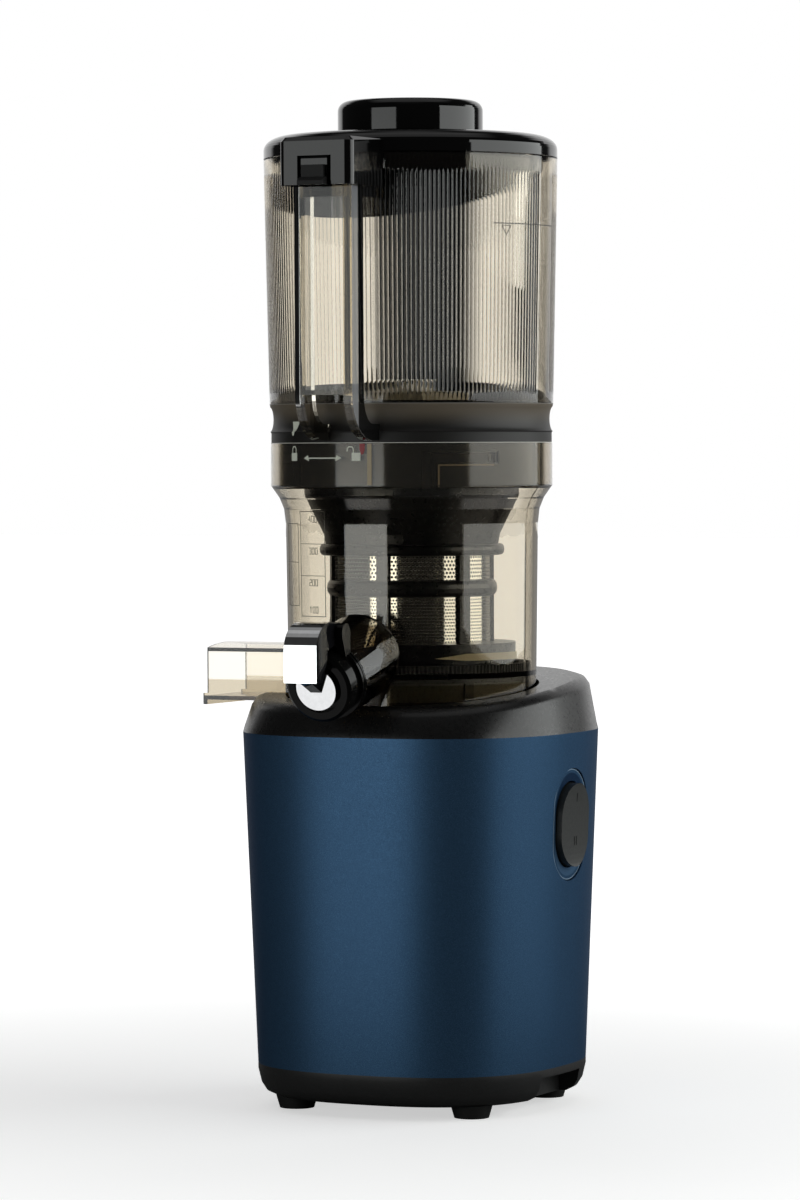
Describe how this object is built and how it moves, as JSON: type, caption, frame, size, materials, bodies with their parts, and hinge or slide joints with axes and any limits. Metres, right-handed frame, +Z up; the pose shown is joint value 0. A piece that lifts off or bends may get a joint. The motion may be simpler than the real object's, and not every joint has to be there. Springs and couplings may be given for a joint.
{
  "type": "cold press juicer",
  "caption": "Upright slow juicer: a wide lidded hopper locks on a clear juicing bowl with auger, strainer, spout and pulp chute, over a geared motor base.",
  "frame": {"origin": "centre of the bounding box's footprint, on the worktop under the feet", "axes": "+Z up, -Y towards the juice spout and the handle (the front), -X towards the pulp chute, +X the switch side"},
  "size_m": [0.1936, 0.2176, 0.5012],
  "materials": {
    "shell_paint": "satin metallic",
    "cover_plastic": "satin",
    "black_gloss": "gloss",
    "dark_plastic": "fine grain",
    "clear_smoke": "clear, slightly smoked",
    "foot_rubber": "matt",
    "seal_silicone": "matt",
    "screw_steel": "plain",
    "screen_steel": "perforated sheet",
    "chromed": "polished",
    "cast_alloy": "die cast",
    "motor_iron": "laminated",
    "copper_wire": "wound",
    "gear_plastic": "smooth",
    "auger_plastic": "smooth",
    "blade_plastic": "smooth",
    "board_plastic": "varnished",
    "sinter_bronze": "sintered"
  },
  "bodies": {
    "base": {"base_shell": "shell_paint", "top_cover": "cover_plastic", "bottom_pan": "cover_plastic", "rubber_feet": "foot_rubber", "pan_screws": "screw_steel", "switch_bezel": "shell_paint", "switch_body": "dark_plastic", "cord_gland": "foot_rubber", "gearbox_case": "cast_alloy", "gearbox_lid": "cast_alloy", "gearbox_mounts": "foot_rubber", "motor_stator": "motor_iron", "motor_windings": "copper_wire", "motor_bracket": "cast_alloy", "motor_bolts": "screw_steel", "motor_bearings": "screw_steel", "layshaft_pin": "screw_steel", "output_bearing": "sinter_bronze", "shaft_seal": "seal_silicone", "control_board": "board_plastic"},
    "rocker": {"switch_rocker": "dark_plastic"},
    "rotor": {"motor_rotor": "motor_iron", "motor_fan": "gear_plastic"},
    "layshaft": {"layshaft_gear": "gear_plastic"},
    "output": {"output_gear": "gear_plastic", "drive_shaft": "screw_steel"},
    "bowl": {"juice_bowl": "clear_smoke", "bowl_gasket": "seal_silicone", "bowl_foot_ring": "dark_plastic", "auger_bush": "gear_plastic", "strainer_frame": "dark_plastic", "strainer_screen": "screen_steel", "spout_ring": "dark_plastic", "lever_pin": "screw_steel"},
    "auger": {"auger": "auger_plastic", "auger_hub": "screw_steel", "feed_blade": "blade_plastic"},
    "cap": {"cap_lever": "chromed", "cap_plug": "chromed", "cap_seal": "seal_silicone"},
    "hopper": {"hopper": "clear_smoke", "feed_funnel": "dark_plastic", "hopper_handle": "clear_smoke", "hinge_bracket": "dark_plastic", "hinge_pin": "screw_steel"},
    "lid": {"lid": "black_gloss", "lid_knob": "black_gloss", "lid_skirt": "black_gloss", "latch_box": "black_gloss"},
    "latch": {"lid_latch": "black_gloss"}
  },
  "joints": [
    {"name": "rotor_spin", "type": "hinge", "parent": "base", "child": "rotor", "pos_m": [0.01053, 0.01475, 0.068], "axis": [0, 0, 1], "continuous": true},
    {"name": "layshaft_spin", "type": "hinge", "parent": "base", "child": "layshaft", "pos_m": [0.01053, 0.05075, 0.1447], "axis": [0, 0, 1], "continuous": true},
    {"name": "output_spin", "type": "hinge", "parent": "base", "child": "output", "pos_m": [0.01053, 0.01475, 0.1567], "axis": [0, 0, 1], "continuous": true},
    {"name": "rocker_tilt", "type": "hinge", "parent": "base", "child": "rocker", "pos_m": [0.08777, 0.02475, 0.14218], "axis": [0, 1, 0], "range_deg": [-8, 8]},
    {"name": "bowl_lift", "type": "slide", "parent": "base", "child": "bowl", "axis": [0, 0, 1], "range_m": [0, 0.05]},
    {"name": "auger_spin", "type": "hinge", "parent": "bowl", "child": "auger", "pos_m": [0.01053, 0.01475, 0.23], "axis": [0, 0, 1], "continuous": true},
    {"name": "cap_hinge", "type": "hinge", "parent": "bowl", "child": "cap", "pos_m": [0.01053, -0.08525, 0.2399], "axis": [-1, 0, 0], "range_deg": [0, 85]},
    {"name": "hopper_turn", "type": "hinge", "parent": "bowl", "child": "hopper", "pos_m": [0.01053, 0.01475, 0.3313], "axis": [0, 0, 1], "range_deg": [0, 29]},
    {"name": "lid_hinge", "type": "hinge", "parent": "hopper", "child": "lid", "pos_m": [0.01053, 0.09505, 0.4746], "axis": [-1, 0, 0], "range_deg": [0, 100]},
    {"name": "latch_flex", "type": "hinge", "parent": "lid", "child": "latch", "pos_m": [0.01053, -0.0905, 0.46765], "axis": [-1, 0, 0], "range_deg": [0, 8], "stiffness_Nm_per_rad": 0.2}
  ],
  "couplings": [
    {"joint": "layshaft_spin", "follows": "rotor_spin", "ratio": -0.2},
    {"joint": "output_spin", "follows": "rotor_spin", "ratio": 0.04},
    {"joint": "auger_spin", "follows": "rotor_spin", "ratio": 0.04}
  ]
}
